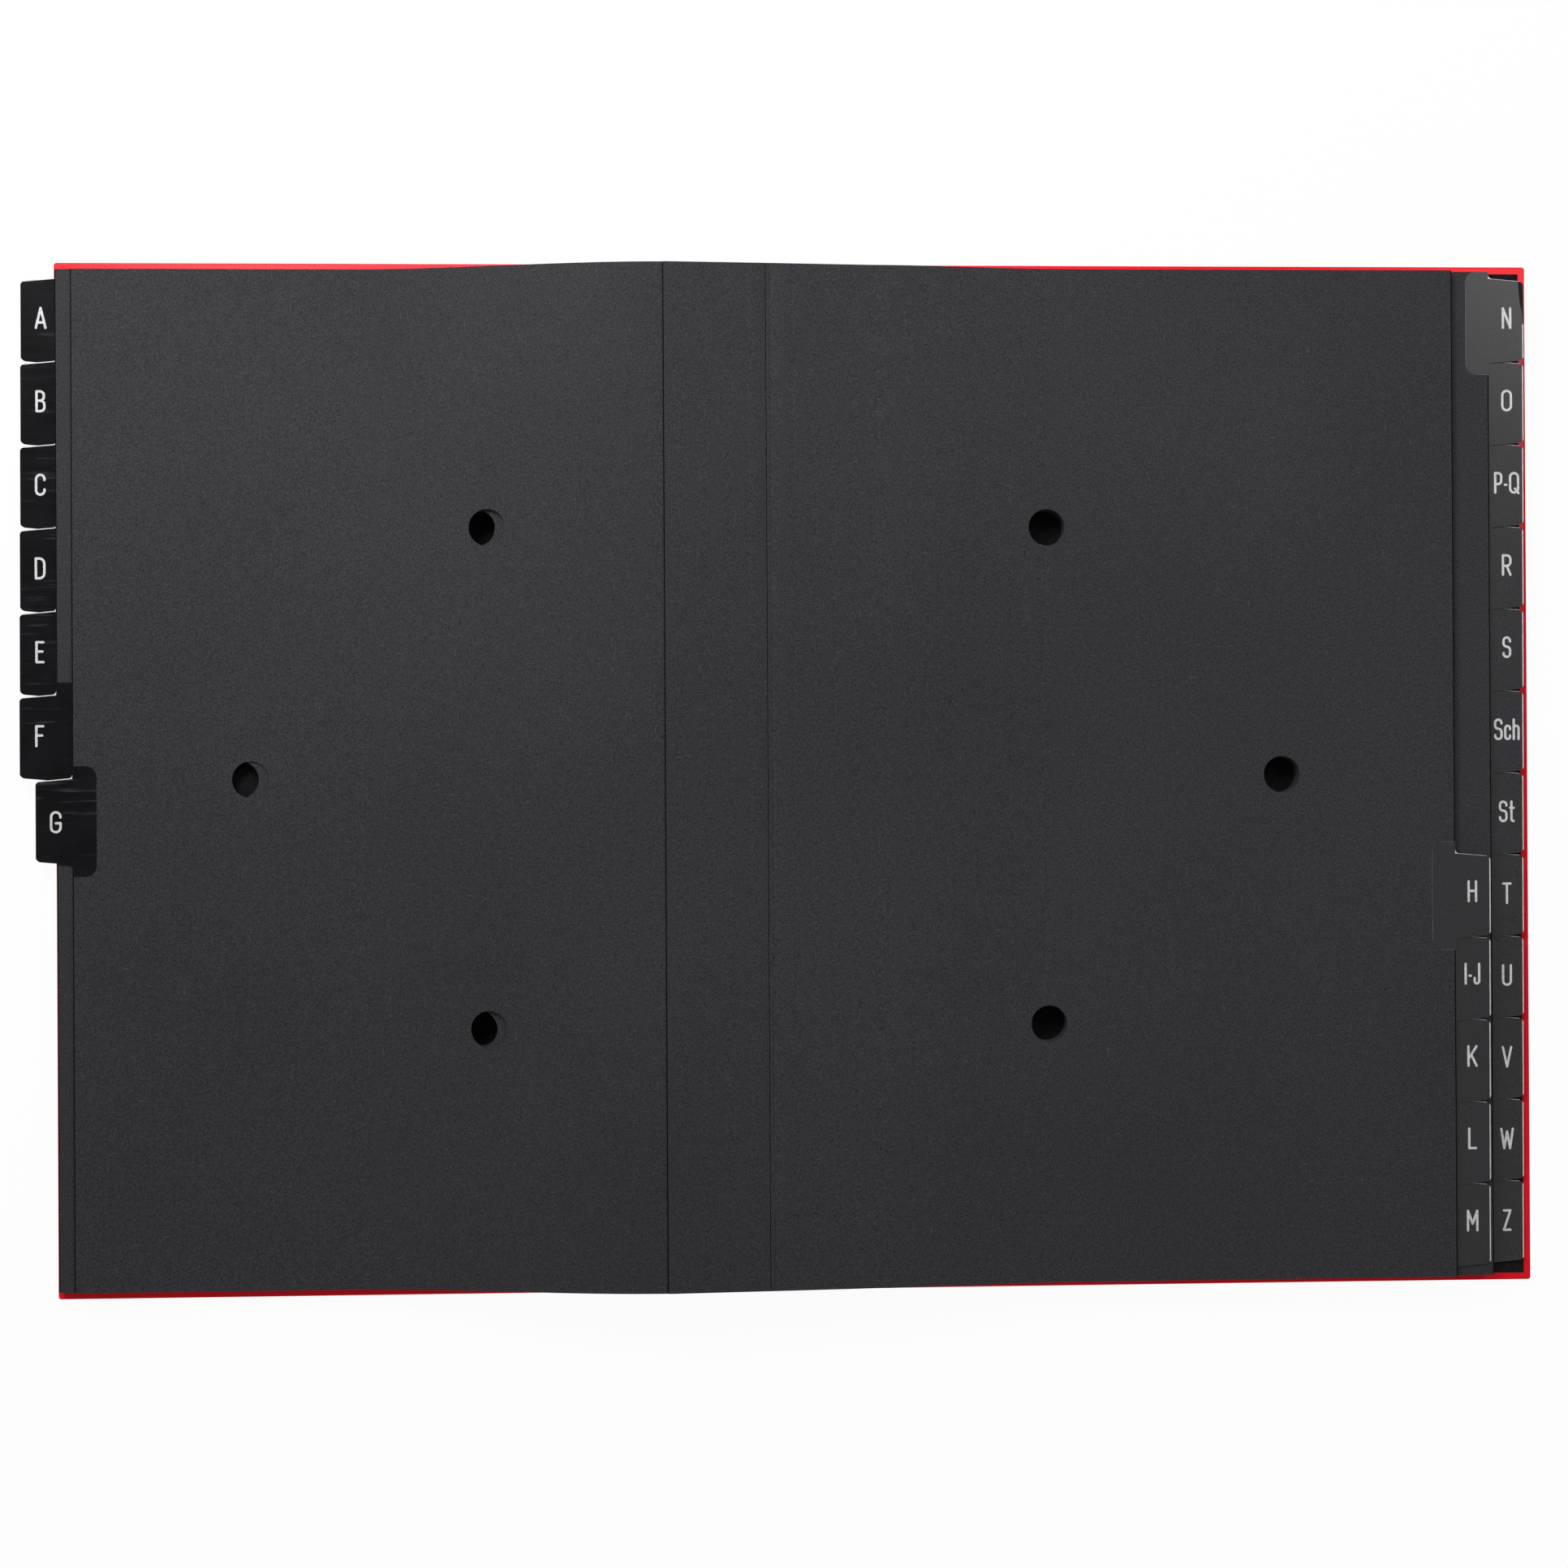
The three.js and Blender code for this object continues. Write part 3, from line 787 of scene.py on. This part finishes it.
# Width in mm, then strokes through (x, y, roundness), in shares of the letter's width and height
letterStrokes = {
    "A": (3.9, [(0, 0), (0.5, 1), (1, 0)], [(0.14, 0.27), (0.86, 0.27)]),
    "B": (3.3, [(0, 0), (0, 1), (0.94, 1, 1), (0.94, 0.53, 1), (0, 0.53)],
          [(0, 0.53), (1, 0.53, 1), (1, 0, 1), (0, 0)]),
    "C": (3.5, [(1, 0.74), (1, 1, 1), (0, 1, 1), (0, 0, 1), (1, 0, 1), (1, 0.26)]),
    "D": (3.5, [(0, 0), (0, 1), (1, 1, 1.2), (1, 0, 1.2), (0, 0)]),
    "E": (3.0, [(1, 0), (0, 0), (0, 1), (1, 1)], [(0, 0.53), (0.85, 0.53)]),
    "F": (3.0, [(0, 0), (0, 1), (1, 1)], [(0, 0.53), (0.85, 0.53)]),
    "G": (3.8, [(1, 0.74), (1, 1, 1), (0, 1, 1), (0, 0, 1), (1, 0, 1), (1, 0.45), (0.5, 0.45)]),
    "H": (3.25, [(0, 0), (0, 1)], [(1, 0), (1, 1)], [(0, 0.52), (1, 0.52)]),
    "I": (0.8, [(0, 0), (0, 1)]),
    "J": (2.3, [(1, 1), (1, 0, 1), (0, 0, 1), (0, 0.28)]),
    "K": (3.5, [(0, 0), (0, 1)], [(1, 1), (0, 0.36)], [(0.34, 0.58), (1, 0)]),
    "L": (3.0, [(0, 1), (0, 0), (1, 0)]),
    "M": (3.9, [(0, 0), (0, 1), (0.5, 0.34), (1, 1), (1, 0)]),
    "N": (3.25, [(0, 0), (0, 1), (1, 0), (1, 1)]),
    "O": (3.7, [(0, 0.5), (0, 1, 1), (1, 1, 1), (1, 0, 1), (0, 0, 1), (0, 0.5)]),
    "P": (2.8, [(0, 0), (0, 1), (1, 1, 1), (1, 0.44, 1), (0, 0.44)]),
    "Q": (3.5, [(0, 0.5), (0, 1, 1), (1, 1, 1), (1, 0, 1), (0, 0, 1), (0, 0.5)], [(0.6, 0.2), (1.05, -0.03)]),
    "R": (3.3, [(0, 0), (0, 1), (1, 1, 1), (1, 0.46, 1), (0, 0.46)], [(0.5, 0.46), (1, 0)]),
    "S": (2.95, [(1, 0.8), (1, 1, 1), (0, 1, 1), (0, 0.53, 1), (1, 0.53, 1), (1, 0, 1), (0, 0, 1), (0, 0.2)]),
    "T": (3.25, [(0, 1), (1, 1)], [(0.5, 1), (0.5, 0)]),
    "U": (3.4, [(0, 1), (0, 0, 1), (1, 0, 1), (1, 1)]),
    "V": (3.6, [(0, 1), (0.5, 0), (1, 1)]),
    "W": (4.7, [(0, 1), (0.25, 0), (0.5, 0.86), (0.75, 0), (1, 1)]),
    "Z": (3.0, [(0, 1), (1, 1), (0, 0), (1, 0)]),
    "c": (2.4, [(1, 0.5), (1, 0.68, 1), (0, 0.68, 1), (0, 0, 1), (1, 0, 1), (1, 0.18)]),
    "h": (2.4, [(0, 0), (0, 1)], [(0, 0.45), (0, 0.68, 1), (1, 0.68, 1), (1, 0)]),
    "t": (2.0, [(0.36, 1), (0.36, 0, 1), (1, 0)], [(0, 0.68), (1, 0.68)]),
    "-": (1.25, [(0, 0.4), (1, 0.4)]),
}


def strokePoints(stroke, width):
    spanX, spanY = width - letter["stroke"], letter["height"] - letter["stroke"]
    corners = [(x * spanX, y * spanY, sum(roundness) * spanX / 2) for x, y, *roundness in stroke]
    points = [corners[0][:2]]
    for before, (x, y, radius), after in zip(corners, corners[1:], corners[2:]):
        points += arcCorner(before[:2], (x, y), after[:2], radius, letter["arcSteps"]) if radius else [(x, y)]
    return points + [corners[-1][:2]]


def letterShape(name):
    # every stroke is a row of bars and discs, which are joined in the plane
    half, x0 = letter["stroke"] / 2, 0.0
    points, faces = [], []
    for sign in name.replace("_", "-"):
        width, *strokes = letterStrokes[sign]
        for stroke in strokes:
            line = [Vector((x0 + half + x, half + y)) for x, y in strokePoints(stroke, width)]
            shapes = [circle(*point, half, letter["endSteps"]) for point in line]
            for a, b in zip(line, line[1:]):
                if (b - a).length > half / 10:
                    aside = (b - a).orthogonal().normalized() * half
                    shapes.append([a - aside, b - aside, b + aside, a + aside])
            for shape in shapes:
                faces.append(range(len(points), len(points) + len(shape)))
                points += [Vector(point) for point in shape]
        x0 += width + letter["gap"]
    middle = Vector(((x0 - letter["gap"]) / 2, letter["height"] / 2))
    found = delaunay_2d_cdt(points, [], [list(face) for face in faces], 1, 1e-4)
    kept = [triangle for triangle, owners in zip(found[2], found[5]) if owners]
    return [point - middle for point in found[0]], kept


def addLetter(name, side, shape, out, up, level, facing):
    work = bmesh.new()
    height = level + facing * letter["lift"]
    corners = [
        work.verts.new(Vector((creaseX + side * out + facing * x, up + y, height)) * mm)
        for x, y in shape[0]
    ]
    for triangle in shape[1]:
        work.faces.new([corners[i] for i in triangle])
    bmesh.ops.delete(work, geom=[v for v in work.verts if not v.link_faces], context="VERTS")
    bmesh.ops.dissolve_limit(work, angle_limit=math.radians(1), verts=work.verts[:], edges=work.edges[:])
    bmesh.ops.triangulate(work, faces=work.faces[:])
    grown = bmesh.ops.extrude_face_region(work, geom=work.faces[:])
    for each in grown["geom"]:
        if isinstance(each, bmesh.types.BMVert):
            each.co.z += facing * letter["wall"] * mm
    bmesh.ops.recalc_face_normals(work, faces=work.faces[:])
    label = "letter_" + name + ("_face" if facing > 0 else "_back")
    mesh = bpy.data.meshes.new(label)
    work.to_mesh(mesh)
    work.free()
    piece = addObject(label, mesh, [finishes["ink"]])
    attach(piece, bodyOf[side])


# Covers and spine cloth

cover = {"edgeRadius": 0.45, "segments": 3}


def addCover(node, side):
    source = frame["nodes"][node]
    work = bmesh.new()
    work.from_mesh(source.data)
    bmesh.ops.remove_doubles(work, verts=work.verts[:], dist=1e-6)
    bmesh.ops.dissolve_limit(work, angle_limit=math.radians(2), verts=work.verts[:], edges=work.edges[:])
    sharp = [edge for edge in work.edges if edge.calc_face_angle() > math.radians(60)]
    radius, segments = cover["edgeRadius"] * mm, cover["segments"]
    bmesh.ops.bevel(work, geom=sharp, offset=radius, segments=segments, profile=0.5, affect="EDGES")
    mesh = bpy.data.meshes.new(node + "_board")
    work.to_mesh(mesh)
    work.free()
    piece = addObject(node + "_board", mesh, [finishes["laminate"]])
    mesh.shade_smooth()
    mesh.set_sharp_from_angle(angle=math.radians(40))
    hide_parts(node)
    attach(piece, bodyOf[side])


def dressEndpapers():
    for node in ("front_endpaper", "back_endpaper"):
        materials = frame["nodes"][node].data.materials
        materials.clear()
        materials.append(finishes["paper"])


spine = {"wall": 0.35, "lift": 0.1, "pleats": 10, "pleatRise": 1.35, "setback": 13.7, "flapEnd": 25.9}


def addSpineCloth():
    low = spine["lift"] + spine["wall"] / 2
    reach, turns = spine["setback"], spine["pleats"]

    def path(s):
        if abs(s) >= reach:
            return creaseX + s, low
        wave = (1 - math.cos(math.pi * turns * (s + reach) / reach)) / 2
        return creaseX + s, low + spine["pleatRise"] * wave

    half, end = (cadBox[1][1] - cadBox[0][1]) / 2 / mm, spine["flapEnd"]
    rows = spaced(-reach, reach, reach / turns / 6) + [-20, 20]
    outline = [(-end, -half), (end, -half), (end, half), (-end, half)]
    piece = bentSheet("pleated_spine_cloth", [outline], rows, path, spine["wall"], [finishes["cloth"]])
    places = [path(s) for s in spaced(-end, end, 0.1)]
    length = sum(math.dist(a, b) for a, b in zip(places, places[1:]))
    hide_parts("spine_cloth_front", "spine_cloth_back")
    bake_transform(piece)


print("camera and studio")
addCamera()
addWorld()
addLamps()
addFloor()
finishes = {
    "card": cardMaterial("black_card", card),
    "cutEdgeAndShade": cardMaterial("cut_edge_and_painted_shade", cutEdgeAndShade),
    "filmFace": cardMaterial("black_film_face", filmFace),
    "filmEdgeHighlight": cardMaterial("painted_film_edge_highlight", filmEdgeHighlight),
    "filmBack": filmBackMaterial(),
    "foldHighlight": foldHighlightMaterial(),
    "laminate": laminateMaterial(),
    "paper": paperMaterial(),
    "cloth": clothMaterial(),
    "ink": inkMaterial(),
}

print("covers and spine")
addCover("front_cover", left)
addCover("back_cover", right)
dressEndpapers()
addSpineCloth()

print("leaves")
addLeftLeaves()
addRightLeaves()
addOpenSheet()
addEndStrip()

print("tabs")
for i, name in enumerate(leftNames):
    addTabFilm(name, left, i + 1)
for i, name in enumerate(innerNames):
    addTabFilm(name, right, len(leftNames) + 1 + i)
for i, name in enumerate(outerNames):
    addTabFilm(name, right, i + 1)
addShadowSliver()
